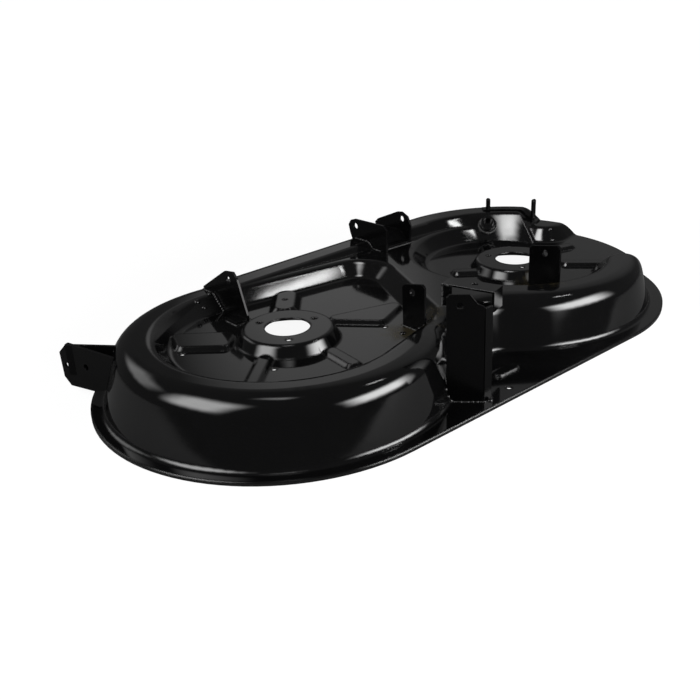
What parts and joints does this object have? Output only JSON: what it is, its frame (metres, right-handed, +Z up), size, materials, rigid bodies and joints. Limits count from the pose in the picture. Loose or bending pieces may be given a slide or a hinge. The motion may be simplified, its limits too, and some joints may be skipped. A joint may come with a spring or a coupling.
{
  "type": "lawn mower deck",
  "caption": "Pressed steel side-discharge mower deck: a shell over twin blade chambers with spindle seats, lift hangers, wheel bracket and chute hinge.",
  "frame": {"origin": "middle of the rim's plan at its lower edge, halfway between the lobes", "axes": "+X from the left lobe to the discharge lobe, +Y to the front of the mower, +Z up"},
  "size_m": [1.1329, 0.6, 0.177],
  "materials": {
    "shell_paint": "gloss",
    "bracket_paint": "satin"
  },
  "bodies": {
    "root": {"deck_shell": "shell_paint", "wheel_bracket": "bracket_paint", "left_hanger": "bracket_paint", "rear_hanger": "bracket_paint", "right_hanger": "bracket_paint", "rear_post": "bracket_paint", "belt_bracket": "bracket_paint", "front_clevis": "bracket_paint", "chute_hinge": "bracket_paint", "wash_port": "bracket_paint"}
  },
  "joints": []
}
